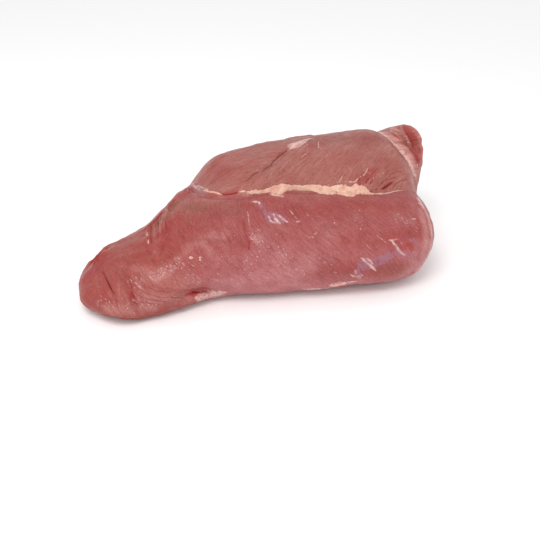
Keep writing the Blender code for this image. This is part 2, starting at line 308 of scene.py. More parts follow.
MARKS["slit"] = (
    (0.8, -0.3, 0.5, ((383.5, 188.6), (387, 186.2), (390, 184))),
    (0.6, -0.4, 0.7, ((339.8, 184.4), (344.4, 183))),
    (0.7, -0.7, 0.45, ((245.2, 182.3), (250, 178.3), (254.5, 174.2), (259, 172.5))),
    (0.7, -0.7, 0.65, ((262.5, 171.3), (270.8, 165.8), (273.3, 161.7), (280, 155.8), (289, 149))),
    (0.7, -0.3, 0.7, ((105.5, 277), (109.5, 285.5), (113.7, 294))),
    (0.8, -0.3, 0.5, ((190.5, 291.2), (195, 290.2), (199, 292), (203, 290.8), (208, 291.6))),
)
MARKS["white"] = (
    (0.7, 0.2, 0.5, ((335.7, 183.3), (339.8, 181), (342, 176.4))),
    (0.9, 0.3, 0.5, ((346, 181.5), (354, 182), (359, 178))),
    (0.6, 0.2, 0.25, ((363, 176), (366, 172), (368, 168))),
    (0.8, 0.3, 0.9, ((370.5, 193.6), (380, 194), (389, 193.2), (395, 191.2), (403, 190.4))),
    (2.4, 0.4, 0.8, ((379.5, 131.5), (387, 137.5), (396, 146.5), (404, 156), (410.5, 166), (415.8, 178))),
    (1.4, 0.2, 0.6, ((396, 144.5), (403, 152), (408, 159), (412, 168))),
    (0.7, 0.3, 0.5, ((389, 128.7), (396, 130.3), (403, 132.5))),
    (0.7, 0.3, 0.5, ((390, 131), (397, 133), (405, 137))),
    (0.9, 0.3, 0.5, ((407, 142.5), (410, 142.8), (412, 144.5), (413.5, 145.5))),
    (0.7, 0.2, 0.8, ((417.2, 163), (417.5, 168))),
    (1.6, 0.4, 0.5, ((193.5, 183.5), (196, 187.5), (200, 190.5))),
    (1.0, 0.3, 0.6, ((197, 185.5), (203, 188), (208, 189.5))),
    (7.0, 0.6, 1.0, ((292.5, 147.5), (297, 144.5), (303, 141.5))),
    (3.0, 0.3, 0.9, ((300, 140.6), (306, 139.4), (312, 138.4))),
    (0.6, 0.1, 0.28, ((256, 171), (262, 167))),
    (0.7, 0.1, 0.35, ((302, 157), (308, 152))),
    (0.6, 0.1, 0.4, ((318.2, 141), (318.6, 148))),
    (1.6, 0.2, 0.9, ((252.5, 202), (256, 202.3), (260.5, 204.3))),
    (1.6, 0.3, 0.9, ((273.5, 214.5), (276, 219), (280.5, 223.6))),
    (1.2, 0.2, 0.7, ((268.5, 216), (271, 221), (275, 223))),
    (1.2, 0.1, 0.6, ((279, 215), (283, 219), (287.5, 221.5))),
    (1.3, 0.2, 0.3, ((296.5, 221.6), (300, 220.2), (303, 217.6))),
    (0.8, 0.1, 0.25, ((288, 207), (292.9, 213.3), (298.7, 220.7))),
    (0.6, 0.1, 0.15, ((299.5, 205), (304, 210), (308.6, 215.8))),
    (1.4, 0.1, 0.05, ((307, 236), (313, 237), (318, 232))),
    (1.6, 0.2, 0.7, ((355.5, 270), (356.5, 275), (360.5, 279))),
    (1.4, 0.2, 0.5, ((350.5, 274.5), (357, 277), (363, 275))),
    (1.7, 0.3, 0.85, ((391.5, 240.2), (396, 246), (401.1, 251.4), (405, 255.4))),
    (1.1, 0.2, 0.7, ((388.8, 240.3), (392.5, 240.6), (396.8, 239.2))),
    (1.5, 0.2, 0.75, ((360.4, 257), (365.9, 262), (371, 266.5), (376, 271))),
    (1.0, 0.2, 0.5, ((366.5, 258), (370, 260.5), (373, 264))),
    (0.6, 0.1, 0.2, ((375.1, 233.6), (381, 238.5), (387.3, 243.6))),
    (0.6, 0.1, 0.2, ((364.4, 242.8), (369, 247.5), (373.6, 252.7))),
    (0.5, 0.1, 0.28, ((341, 240), (344.5, 246.5))),
    (0.9, 0.4, 0.6, ((426, 212), (430.5, 224), (432, 238))),
    (3.4, 0.8, 1.0, ((418, 198), (420, 203), (422.5, 208.5))),
    (0.7, 0.1, 0.6, ((411.5, 219), (416, 218.8))),
    (2.6, 0.5, 1.0, ((303.5, 289.8), (312, 289.4), (320, 288.6))),
    (1.2, 0.3, 0.8, ((318, 289.4), (330, 287.4))),
    (3.8, 0.5, 1.0, ((331, 285.6), (338, 284.2), (346, 282.8))),
    (1.8, 0.3, 0.9, ((343, 282.8), (350, 282), (356.5, 281.4))),
    (0.6, 0.1, 0.1, ((246, 202.5), (247.8, 214), (249.8, 227))),
    # A pale dash where light glints on the tail: a painted highlight
    (0.5, 0.3, 0.2, ((132, 299.8), (138.3, 303.2))),
    (1.2, 0.2, 0.25, ((136, 270.5), (142, 267.5))),
    (0.9, 0.4, 1.0, ((147.7, 233.1), (147.8, 237))),
    (0.8, 0.4, 0.9, ((148.9, 240.3), (148.4, 243.7))),
    (4.6, 0.6, 0.9, ((196, 297.5), (204, 296), (212, 294.5), (224, 292.5))),
)
MARKS["fat"] = (
    (1.1, 0.3, 0.8, ((388.8, 139.8), (391.5, 142.4), (394.6, 146))),
    (1.1, 0.5, 0.9, ((203.5, 190), (207.7, 191.2), (214.6, 192.3), (221.5, 194.6))),
    (0.8, 0.3, 0.6, ((237.5, 192.3), (243, 191.6), (249, 192))),
    (2.2, 0.3, 0.6, ((292, 147.5), (295, 145), (299, 142.5))),
    (3.0, 0.9, 1.0, ((270, 194.6), (276, 195), (282.5, 195.6))),
    (1.6, 0.3, 0.8, ((333, 285.6), (339, 284.4), (345, 283))),
)
MARKS["pale"] = (
    (2.6, 0.3, 0.9, ((400.5, 125.5), (404.5, 133), (409, 142))),
    (2.0, 0.3, 0.7, ((421, 163), (419.2, 170), (417.6, 177))),
    (5.0, 0.2, 1.0, ((423, 206), (429, 220), (431.5, 235), (430, 252), (422, 266), (414, 272))),
)
MARKS["silver"] = (
    (3.6, 0.4, 0.5, ((193.5, 184), (198.5, 187.5), (203, 189))),
    (2.4, 0.1, 0.7, ((258, 203), (262, 208), (266, 214), (268, 221))),
    (4.6, 0.2, 0.9, ((270, 213.5), (277, 217.5), (284, 220.5))),
    (2.8, 0.2, 0.8, ((268, 222.5), (273, 221), (280, 223))),
    (2.6, 0.2, 0.8, ((406, 254.5), (397, 252.5), (391, 255.5), (384, 258))),
    (5.6, 0.2, 1.0, ((391, 256), (380, 260.5), (372, 264.5))),
    (6.0, 0.2, 1.0, ((378, 262), (370, 265), (364, 265.5))),
    (4.6, 0.2, 0.8, ((365, 260), (361, 267), (357.5, 275))),
    (2.4, 0.1, 0.6, ((402, 257.5), (409, 255.6), (416, 256))),
    (1.0, 0.1, 0.5, ((410, 257), (417, 258), (424, 261))),
    (2.0, 0.1, 0.6, ((409.5, 239), (414, 241), (418, 244.5))),
)
MARKS["red"] = (
    (4.6, -0.1, 1.0, ((404.5, 246), (409.5, 244.5), (412, 250))),
    (2.2, 0.2, 1.0, ((411.5, 273), (415.5, 271.6))),
)
MARKS["flush"] = (
    (5.0, -0.3, 0.7, ((244.5, 222), (248, 235), (250, 249))),
)

SOFT_KINDS = ("flush", "tan", "pale", "rosy", "red", "vivid")
SHARP_KINDS = ("fat", "silver", "white", "blood", "slit")
# All of them, as kind, half width, height, strength and pixels.
RELIEFS = [("fold", half_width, rise, 1.0, pixels) for half_width, rise, pixels in FOLDS]
RELIEFS += [(kind, row[0], 0.0, *row[1:]) for kind, rows in PATCHES.items() for row in rows]
RELIEFS += [(kind, *row) for kind, rows in MARKS.items() for row in rows]
# How far apart a mark's points are in pixels, and the shortest stretch between them in mm that counts.
PIXEL_STEP = 1.0
SHORTEST_STRETCH = 1e-6
# How steeply a sharp mark rises, how many half widths out it still counts, and how it narrows to its ends.
MARK_STEEPNESS = 2.0
MARK_REACH = 2.5
MARK_TAPER = 0.45
MARK_TAPER_POWER = 4

# Faces near thin marks are split: reach from the mark in mm, then the half width in mm that counts as thin.
SPLITS = ((2.3, 2.5), (1.3, 1.35))

# Wet zones, glossier and with more painted glints, pale specks painted into the colour as highlights: half
# width
#  in mm, strength and the picture's pixels that they run through.
WET_ZONES = (
    (14.0, 0.75, ((254, 232), (262, 244), (262, 258))),
    (11.0, 0.9, ((278, 246), (284, 256), (290, 262))),
    (11.0, 0.9, ((247, 258), (252, 268))),
    (11.0, 0.7, ((296, 270), (304, 275))),
    (12.0, 0.75, ((150, 276), (166, 270), (186, 264))),
    (10.0, 0.7, ((184, 272), (200, 282), (215, 280))),
    (10.0, 1.0, ((132, 280), (142, 286))),
    (11.0, 1.0, ((122, 304), (138, 304), (154, 305))),
    (11.0, 0.9, ((98, 302), (112, 308))),
    (11.0, 0.8, ((394, 214), (406, 222), (416, 230))),
    (8.0, 0.7, ((355, 210), (360, 228))),
    (14.0, 0.45, ((196, 284), (230, 282), (262, 280))),
    (16.0, 0.55, ((238, 270), (266, 270), (300, 266), (332, 258))),
    (14.0, 0.3, ((205, 250), (222, 262), (238, 266))),
    (12.0, 0.6, ((320, 270), (345, 276), (365, 278))),
)

# Threads of white tissue on the flesh, two of them pale streaks that are painted highlights: half width in mm
# and
#  the picture's pixels that they run through.
THREADS = (
    (0.50, ((371, 193.8), (379, 194.2), (388, 193.6))),
    (0.38, ((387, 193.7), (393.5, 191.6), (402.5, 190.4))),
    # The next two are painted highlights: pale streaks where light glints along the fibres, not tissue
    (0.30, ((181.5, 262), (185.2, 266.3))),
    (0.26, ((191.4, 264.5), (194.8, 266.8))),
    (0.24, ((276.5, 214), (279, 218))),
    (0.26, ((392.5, 241.5), (396, 246))),
    (0.24, ((362, 259), (366, 263))),
)
# Their height in mm, sides, thickness at the tips and unevenness, as shares of the half width.
THREAD_HEIGHT = 0.25
THREAD_SIDES = 6
THREAD_TIP = 0.25
THREAD_UNEVENNESS = 0.35

# Lumps of fat: radius in mm and the picture's pixel.
LUMPS = (
    (1.9, (191.1, 257.6)),
    (1.1, (200.3, 257.6)),
    (1.0, (200.1, 259.6)),
    (1.5, (199.4, 298.4)),
    (1.2, (203.8, 296.2)),
    (1.3, (196.8, 296.6)),
    (1.4, (207.5, 297.5)),
    (1.1, (211, 296)),
    (1.2, (214.5, 297)),
    (1.0, (219, 295.6)),
    (1.0, (201.5, 295.4)),
    (0.9, (206.5, 294.6)),
    (0.9, (210.5, 294)),
    (0.8, (216, 294.2)),
    (0.7, (257.2, 256.8)),
    (0.6, (231.9, 279.6)),
    (0.6, (217.8, 273.8)),
    (0.6, (304.5, 274.2)),
    (0.6, (360.4, 176.7)),
    (0.5, (370.2, 173.2)),
    (0.5, (373.3, 178.1)),
    (0.6, (127.6, 308.2)),
    (0.6, (334.5, 222.9)),
    (0.5, (359.4, 210.3)),
    (0.6, (360.6, 229)),
)
# How uneven they are, how large that unevenness is in radii, how narrow and how flat they get, and seeds.
LUMP_UNEVENNESS = 0.35
LUMP_FEATURES = 1.2
LUMP_WIDTHS = (0.7, 1.0)
LUMP_FLATNESS = 0.5
LUMP_SEED = 4
LUMP_NOISE_SEEDS = (0, 50)

# The outline of the fat in the seam: the picture's pixels along its upper and its lower edge.
FAT_UPPER_EDGE = (
    (247, 191.5), (252, 190.3), (263, 190), (268, 188), (273, 186), (281, 184), (288, 184.2), (296, 184.8),
    (303, 185.5), (308, 184), (313, 183), (321, 185), (330, 186.6), (338.6, 184.4), (344.9, 185),
    (351.8, 186.8), (354.7, 184), (362, 185), (366.2, 186.8), (369.6, 191.5), (371, 193),
)
FAT_LOWER_EDGE = (
    (247, 192.6), (252, 194.2), (263, 193.2), (273, 193), (276, 194), (279.5, 195.6), (284, 192), (288, 190),
    (303, 189), (313, 190.6), (321, 194), (330, 194.3), (338.6, 193.6), (347.2, 195.5), (353, 197),
    (355.8, 195.4), (360.4, 192.8), (365.6, 194.9), (369.6, 196), (371, 194),
)
# How far inside its outline the fat begins to show and shows whole, in pixels, and the same for how much
# its surface faces up. It stands FAT_RISE mm proud. The noises of its edge and top: how much, size and seed.
FAT_SHOWN = (-0.9, 0.6)
FAT_FACING_UP = (0.1, 0.6)
FAT_RISE = 0.35
FAT_SOFTENING = 2
FAT_EDGE_NOISES = ((1.0, 2.6, 1), (0.6, 1.3, 2))
FAT_LUMP_NOISES = ((1.0, 4.5, 4), (0.6, 2.0, 6))


def linear(colour):
    """A colour written as six hex digits, in linear light with full alpha."""
    parts = [int(colour[i : i + 2], 16) / 255 for i in (1, 3, 5)]
    return tuple(p / 12.92 if p <= 0.04045 else ((p + 0.055) / 1.055) ** 2.4 for p in parts) + (1.0,)


def per_metre(size):
    """The scale of a texture whose features are about size mm across."""
    return 1 / (size * MM)


def smooth_step(low, high, value):
    """0 at low, 1 at high and smooth between, also where high is the smaller."""
    t = np.clip((value - low) / (high - low), 0, 1)
    return t * t * (3 - 2 * t)


def blobs(points, size, seed=0.0):
    """Smooth noise from about -1 to 1 at points in mm, with features about size mm across."""
    return np.array([noise.noise(p) for p in (points / size + seed).tolist()])


def layered(points, *layers):
    """Smooth noises on each other at points in mm: how much, size in mm and seed of each."""
    return sum(amount * blobs(points, size, seed) for amount, size, seed in layers)


def vertex_places(mesh):
    """The mesh's vertices as an array, in mm."""
    places = np.empty(len(mesh.vertices) * 3)
    mesh.vertices.foreach_get("co", places)
    return places.reshape(-1, 3) / MM


def vertex_normals(mesh):
    """The mesh's vertex normals as an array."""
    normals = np.empty(len(mesh.vertices) * 3, np.float32)
    mesh.vertex_normals.foreach_get("vector", normals)
    return normals.reshape(-1, 3).astype(float)


def move_vertices(mesh, places):
    """Puts the mesh's vertices at places in mm."""
    mesh.vertices.foreach_set("co", (places * MM).ravel())
    mesh.update()


def picked(*objects):
    """Selects only these objects, makes the first one active and returns it."""
    bpy.ops.object.select_all(action="DESELECT")
    for obj in objects:
        obj.select_set(True)
    bpy.context.view_layer.objects.active = objects[0]
    return objects[0]


def merged_copy(node, name):
    """A copy of a CAD node with its loose triangles joined up."""
    copy = bpy.data.objects.new(name, node.data.copy())
    bpy.context.scene.collection.objects.link(copy)
    picked(copy)
    copy.data.materials.clear()
    bpy.ops.object.mode_set(mode="EDIT")
    bpy.ops.mesh.select_all(action="SELECT")
    bpy.ops.mesh.remove_doubles(threshold=MERGE_DISTANCE * MM)
    bpy.ops.object.mode_set(mode="OBJECT")
    return copy


def remeshed(obj, voxel, softening):
    """Gives obj an even skin of voxel-sized faces, in metres, and softens it."""
    picked(obj)
    remesh = obj.modifiers.new("Even skin", "REMESH")
    remesh.mode = "VOXEL"
    remesh.voxel_size = voxel
    bpy.ops.object.modifier_apply(modifier=remesh.name)
    smooth = obj.modifiers.new("Soften", "SMOOTH")
    smooth.factor = SOFTENING_FACTOR
    smooth.iterations = softening
    bpy.ops.object.modifier_apply(modifier=smooth.name)
    bpy.ops.object.shade_smooth()
    return obj


class Surface:
    """A skin that pixels of the picture are carried onto."""

    def __init__(self, *objects):
        corners, faces = [], []
        for obj in objects:
            start = len(corners)
            corners += [v.co for v in obj.data.vertices]
            faces += [[start + i for i in p.vertices] for p in obj.data.polygons]
        self.tree = BVHTree.FromPolygons(corners, faces)
        self.eye = Vector(CAMERA_PLACE)
        self.turn = Euler([math.radians(a) for a in CAMERA_TURN]).to_matrix()
        self.focal = CAMERA_LENS / CAMERA_SENSOR * PICTURE

    def at(self, x, y):
        """The point of the skin, in mm, that the camera sees at a pixel, or the nearest to its sight line."""
        middle = PICTURE / 2
        ray = self.turn @ Vector(((x - middle) / self.focal, (middle - y) / self.focal, -1)).normalized()
        place = self.tree.ray_cast(self.eye, ray)[0]
        if place is None:
            near = [self.tree.find_nearest(self.eye + ray * d) for d in np.arange(*SIGHT_DISTANCES)]
            place = min(near, key=lambda n: n[3])[0]
        return np.array(place) / MM

    def along(self, pixels):
        """Points of the skin, in mm, along a line through pixels."""
        spots = [self.at(*pixels[0])]
        for (x0, y0), (x1, y1) in zip(pixels, pixels[1:]):
            wide, high = x1 - x0, y1 - y0
            steps = max(1, round(math.hypot(wide, high) / PIXEL_STEP))
            spots += [self.at(x0 + wide * i / steps, y0 + high * i / steps) for i in range(1, steps + 1)]
        return np.array(spots)

    def pixels(self, points):
        """Where the camera sees points in mm, as pixels across and down."""
        seen = (points * MM - np.array(self.eye)) @ np.array(self.turn)
        across = PICTURE / 2 - seen[:, 0] / seen[:, 2] * self.focal
        down = PICTURE / 2 + seen[:, 1] / seen[:, 2] * self.focal
        return across, down

    def outward(self, spot):
        """The skin's normal at a spot in mm."""
        return self.tree.find_nearest(Vector(spot * MM))[1]


def closeness(points, path, half_width):
    """1 on the path, 0 at half_width from it and less beyond, where the width tapers to the path's ends."""
    best = np.full(len(points), 2 * MARK_REACH)
    lengths = np.linalg.norm(np.diff(path, axis=0), axis=1)
    starts = np.concatenate([[0], np.cumsum(lengths)])
    for a, b, start, length in zip(path, path[1:], starts, lengths):
        if length < SHORTEST_STRETCH:
            continue
        t = np.clip((points - a) @ (b - a) / length**2, 0, 1)
        distance = np.linalg.norm(points - a - t[:, None] * (b - a), axis=1)
        place = (start + t * length) / starts[-1]
        width = half_width * (1 - MARK_TAPER * (2 * place - 1) ** MARK_TAPER_POWER)
        best = np.minimum(best, distance / width)
    return 1 - best


def near_path(points, path, reach):
    """The numbers of the points that lie in a box round the path, reach mm beyond it."""
    inside = (points > path.min(axis=0) - reach) & (points < path.max(axis=0) + reach)
    return np.nonzero(inside.all(axis=1))[0]


def marked(points, paths):
    """The height of the marks, in mm, and a field for each kind of mark, at points of the flesh."""
    height = np.zeros(len(points))
    far = -MARK_STEEPNESS * (MARK_REACH - 1)
    fields = {name: np.full(len(points), far) for name in SHARP_KINDS}
    fields.update({name: np.zeros(len(points)) for name in SOFT_KINDS})
    for (kind, half_width, rise, strength, _), path in zip(RELIEFS, paths):
        chosen = near_path(points, path, half_width * MARK_REACH)
        close = closeness(points[chosen], path, half_width)
        soft = smooth_step(0, 1, close)
        height[chosen] += rise * soft
        if kind in SHARP_KINDS:
            value = np.clip(close * MARK_STEEPNESS, far, strength)
            fields[kind][chosen] = np.maximum(fields[kind][chosen], value)
        elif kind in SOFT_KINDS:
            fields[kind][chosen] = np.maximum(fields[kind][chosen], strength * soft)
    return height, fields


def split_near(obj, spots, reach):
    """Splits the faces of obj whose middles lie within reach of the spots, in mm."""
    tree = KDTree(len(spots))
    for i, spot in enumerate(spots):
        tree.insert(spot, i)
    tree.balance()
    mesh = obj.data
    middles = np.empty(len(mesh.polygons) * 3)
    mesh.polygons.foreach_get("center", middles)
    near = [tree.find(m)[2] < reach for m in (middles.reshape(-1, 3) / MM).tolist()]
    picked(obj)
    bpy.ops.object.mode_set(mode="EDIT")
    bpy.ops.mesh.select_mode(type="FACE")
    bpy.ops.mesh.select_all(action="DESELECT")
    bpy.ops.object.mode_set(mode="OBJECT")
    mesh.polygons.foreach_set("select", near)
    bpy.ops.object.mode_set(mode="EDIT")
    bpy.ops.mesh.subdivide(number_cuts=1)
    bpy.ops.mesh.select_mode(type="VERT")
    bpy.ops.object.mode_set(mode="OBJECT")


def behind_seam(points):
    """How far each point lies behind the seam, seen from above, in mm, and below 0 in front of it."""
    x, y = np.array(SEAM).T
    return points[:, 1] - np.interp(points[:, 0], x, y)


def fibre_places(points):
    """Each point's place across and along the fibres, in mm, with the muscles' patterns kept apart."""
    x, y, z = points.T
    stations, *columns = np.array(FRONT_FIBRES).T
    middle_y, middle_z, radius, drift, drift_growth = [np.interp(x, stations, c) for c in columns]
    down = np.arctan2(middle_y - y, z - middle_z) * radius
    front = np.stack([x - drift * down - drift_growth * down * np.abs(down), down, np.zeros(len(x))], axis=1)

    back = np.arctan2(y - UPPER_AXIS[0], z - UPPER_AXIS[1]) * UPPER_RADIUS
    before_crease = y < CREASE_START[1] + CREASE_SLOPE * (x - CREASE_START[0])
    angle = np.radians(np.where(before_crease, UPPER_ANGLES[1], UPPER_ANGLES[0]))
    across = back * np.cos(angle) - x * np.sin(angle)
    along = x * np.cos(angle) + back * np.sin(angle)
    upper = np.stack([across, along, np.where(before_crease, 1, 2) * REGION_STEP], axis=1)

    angle = math.radians(END_ANGLE)
    across = z * math.cos(angle) - y * math.sin(angle)
    along = y * math.cos(angle) + z * math.sin(angle)
    end = np.stack([across, along, np.full(len(x), 3.0 * REGION_STEP)], axis=1)

    is_upper = (behind_seam(points) > 0) & (x > SEAM_LEFT_END)
    is_end = (y > ROLLED_END_EDGE[0][0]) & (x > np.interp(y, *np.array(ROLLED_END_EDGE).T))
    return np.where(is_end[:, None], end, np.where(is_upper[:, None], upper, front))


def set_attribute(mesh, name, values):
    """Stores a number or a vector for each vertex."""
    kind, key = ("FLOAT_VECTOR", "vector") if values.ndim == 2 else ("FLOAT", "value")
    attribute = mesh.attributes.new(name, kind, "POINT")
    attribute.data.foreach_set(key, values.astype(np.float32).ravel())


def add_node(tree, kind, inputs=(), **settings):
    """A shader node with its settings, and its inputs, in order or by key, linked or set."""
    node = tree.nodes.new("ShaderNode" + kind)
    for name, value in settings.items():
        setattr(node, name, value)
    for key, value in inputs.items() if isinstance(inputs, dict) else enumerate(inputs):
        if isinstance(value, bpy.types.NodeSocket):
            tree.links.new(value, node.inputs[key])
        else:
            node.inputs[key].default_value = value
    return node


def new_material(name):
    """A material with an empty tree, and the function that adds a node to it."""
    material = bpy.data.materials.new(name)
    material.use_nodes = True
    material.node_tree.nodes.clear()
    return material, partial(add_node, material.node_tree)


# Noises that run along the fibres: size across and along them in mm, and detail.
FIBRE_NOISES = {
    "streaks": (1.5, 10, 2.0),
    "bundles": (4.5, 50, 2.0),
    "painted_glints": (1.1, 2.8, 2.5),
    "strands": (1.7, 12, 2.0),
    "ridges": (1.3, 8, 2.0),
}
# Noises without a direction: size in mm and detail.
PLAIN_NOISES = {
    "patches": (26, 3.0),
    "blushes": (15, 3.0),
    "rags": (3.2, 3.0),
    "grit": (1.6, 2.0),
    "beads": (2.2, 2.0),
    "film": (6, 2.0),
}

# How much each noise lightens and darkens the flesh.
SHADES = (("patches", 0.35), ("bundles", 0.35), ("streaks", 0.9), ("grit", 0.8))
# What the darkest and the lightest shade multiply the colour by: the dark is redder and the light paler.
DARKEST = (0.68, 0.42, 0.38, 1.0)
LIGHTEST = (1.32, 1.58, 1.62, 1.0)

# Ranges of noise and what they become: from, to, at the low end and at the high end.
BLUSH = (0.5, 0.75, 0.0, 0.4)
BLOOM = (0.45, 0.2, 0.0, 0.2)
# The next range gives the painted glints, pale specks painted into the colour as highlights
PAINTED_GLINTS = (0.67, 0.79, 0.0, 0.7)
GLOSS = (0.3, 0.7, 0.34, 0.5)
ROSINESS = (0.4, 0.68, 0.0, 0.8)
# What wetness adds to the painted glints and the roughness, and what it adds to the film and the beads with
# what
#  they have when dry.
WET_PAINTED_GLINTS = 0.11
WET_GLOSS = -0.12
WET_FILM = (0.4, 0.03)
WET_BEADS = (0.9, 0.25)
# How much each noise raises the surface.
RELIEF = (("streaks", 0.5), ("ridges", 0.35), ("grit", 0.2))
# The crumbs of fat: size in mm, the range of their noise, and how much rougher the surface gets on it.
CRUMB_SIZE = 1.3
CRUMB_RANGE = (0.3, 0.7)
CRUMB_ROUGHNESS = 0.15
# The skins of fat, threads and scraps: size of the rosy patches in mm, roughness and height of crumbs in mm.
FAT_SKIN = (5, 0.42, 0.5)
THREAD_SKIN = (3, 0.3, 0.1)
SCRAP_SKIN = (3, 0.32, 0.4)

# Kinds of mark with sharp edges: how ragged the plain and the fibrous noise make them, and the most that
# they cover.
COVERS = (
    ("blood", 1.6, 1.2, 0.85),
    ("silver", 3.0, 3.0, 0.75),
    ("white", 2.4, 3.0, 0.8),
    ("fat", 2.4, 0.6, 1.0),
    ("slit", 1.0, 0.6, 0.85),
)


def veal_flesh(look):
    """Moist raw muscle: rosy where it is freshly cut, brownish on top, with fine streaks along its fibres."""
    material, add = new_material("Raw veal flesh")
    here = add("TexCoord").outputs["Object"]
    grain = add("Attribute", attribute_name="grain").outputs["Vector"]
    field = {
        name: add("Attribute", attribute_name=name).outputs["Fac"]
        for name in ("upper", "low", "tail", "wet", *SOFT_KINDS, *SHARP_KINDS)
    }
    noises = {}
    for name, (across, along, detail) in FIBRE_NOISES.items():
        scale = (per_metre(across), per_metre(along), 1.0)
        place = add("VectorMath", (grain, scale), operation="MULTIPLY").outputs[0]
        noises[name] = add("TexNoise", {"Vector": place, "Scale": 1.0, "Detail": detail}).outputs[0]
    for name, (size, detail) in PLAIN_NOISES.items():
        texture = {"Vector": here, "Scale": per_metre(size), "Detail": detail}
        noises[name] = add("TexNoise", texture).outputs[0]

    # Wide areas of tone, and soft blushes
    tone = look.front_colour
    blush = add("MapRange", (noises["blushes"], *BLUSH)).outputs[0]
    bloom = add("MapRange", (noises["blushes"], *BLOOM)).outputs[0]
    tones = [(field[name], name) for name in ("upper", "low", "tail", *SOFT_KINDS)]
    for factor, name in (*tones, (blush, "flush"), (bloom, "pale")):
        colours = {0: factor, 6: tone, 7: getattr(look, name + "_colour")}
        tone = add("Mix", colours, data_type="RGBA").outputs[2]

    # Light and dark along the fibres
    multiply_add = {"operation": "MULTIPLY_ADD"}
    shade = 0.5 - sum(amount for _, amount in SHADES) / 2
    for name, amount in SHADES:
        shade = add("Math", (noises[name], amount, shade), **multiply_add).outputs[0]
    shading = add("Mix", {0: shade, 6: DARKEST, 7: LIGHTEST}, data_type="RGBA").outputs[2]
    mixing = {"data_type": "RGBA", "blend_type": "MULTIPLY"}
    tone = add("Mix", {0: 1.0, 6: tone, 7: shading}, **mixing).outputs[2]

    # Painted glints: pale specks painted into the colour as highlights, most of them in the wet zones
    level = add("Math", (field["wet"], WET_PAINTED_GLINTS, noises["painted_glints"]), **multiply_add).outputs[0]
    painted_glints = add("MapRange", (level, *PAINTED_GLINTS)).outputs[0]
    tone = add("Mix", {0: painted_glints, 6: tone, 7: look.white_colour}, data_type="RGBA").outputs[2]

    # Blood, silverskin, fat and slits, with ragged edges
    for name, raggedness, stringiness, most in COVERS:
        cover = field[name]
        for source, amount in (("rags", raggedness), ("strands", stringiness)):
            cover = add("Math", (noises[source], amount, cover), **multiply_add).outputs[0]
        middle = (raggedness + stringiness) / 2
        cover = add("MapRange", (cover, middle, middle + 1, 0.0, most)).outputs[0]
        colours = {0: cover, 6: tone, 7: getattr(look, name + "_colour")}
        tone = add("Mix", colours, data_type="RGBA").outputs[2]

    # Wet film over fine ridges
    gloss = add("MapRange", (noises["film"], *GLOSS)).outputs[0]
    gloss, film, beaded = [
        add("Math", (field["wet"], *amounts), **multiply_add).outputs[0]
        for amounts in ((WET_GLOSS, gloss), WET_FILM, WET_BEADS)
    ]
    relief = add("Math", (noises["beads"], beaded), operation="MULTIPLY").outputs[0]
    for name, amount in RELIEF:
        relief = add("Math", (noises[name], amount, relief), **multiply_add).outputs[0]
    bump = add("Bump", {"Height": relief, "Strength": 0.7, "Distance": 0.6 * MM}).outputs[0]
    skin = {
        "Base Color": tone,
        "Roughness": gloss,
        "Normal": bump,
        "Specular IOR Level": 0.3,
        "Subsurface Weight": 0.2,
        "Subsurface Radius": (1.0, 0.35, 0.25),
        "Subsurface Scale": 2.5 * MM,
        "Coat Weight": film,
        "Coat Roughness": 0.15,
        "Coat Normal": bump,
    }
    surface = add("BsdfPrincipled", skin)
    add("OutputMaterial", {"Surface": surface.outputs[0]})
    return material


def soft_tissue(name, pale, rosy, patch_size, roughness, bump_height):
    """Fat and connective tissue: waxy cream or milky white with rosy patches and fine crumbs, sizes in mm."""
    material, add = new_material(name)
    here = add("TexCoord").outputs["Object"]
    patches, crumbs = [
        add("TexNoise", {"Vector": here, "Scale": per_metre(size), "Detail": 3.0}).outputs[0]
        for size in (patch_size, CRUMB_SIZE)
    ]
    rosiness = add("MapRange", (patches, *ROSINESS)).outputs[0]
    tone = add("Mix", {0: rosiness, 6: pale, 7: rosy}, data_type="RGBA").outputs[2]
    bump = add("Bump", {"Height": crumbs, "Strength": 0.6, "Distance": bump_height * MM}).outputs[0]
    rough_range = (crumbs, *CRUMB_RANGE, roughness, roughness + CRUMB_ROUGHNESS)
    rough = add("MapRange", rough_range).outputs[0]
    tissue = {
        "Base Color": tone,
        "Roughness": rough,
        "Normal": bump,
        "Subsurface Weight": 0.25,
        "Subsurface Radius": (1.0, 0.6, 0.4),
        "Subsurface Scale": 1.5 * MM,
    }
    surface = add("BsdfPrincipled", tissue)
    add("OutputMaterial", {"Surface": surface.outputs[0]})
    return material


def colour_property(name, place, colour):
    """The colour of a place in the sidebar, set to six hex digits."""
    description = f"Colour of the {place}"
    return bpy.props.FloatVectorProperty(
        name=name, description=description, subtype="COLOR", size=4, min=0.0, max=1.0, default=linear(colour)
    )


def length_property(name, description, length, least=0.0):
    """A length in the sidebar, given in mm."""
    return bpy.props.FloatProperty(
        name=name, description=description, default=length * MM, min=least * MM, unit="LENGTH"
    )


def power_property(name, description, power):
    """The power of a light in the sidebar."""
    return bpy.props.FloatProperty(name=name, description=description, default=power, min=0.0, unit="POWER")


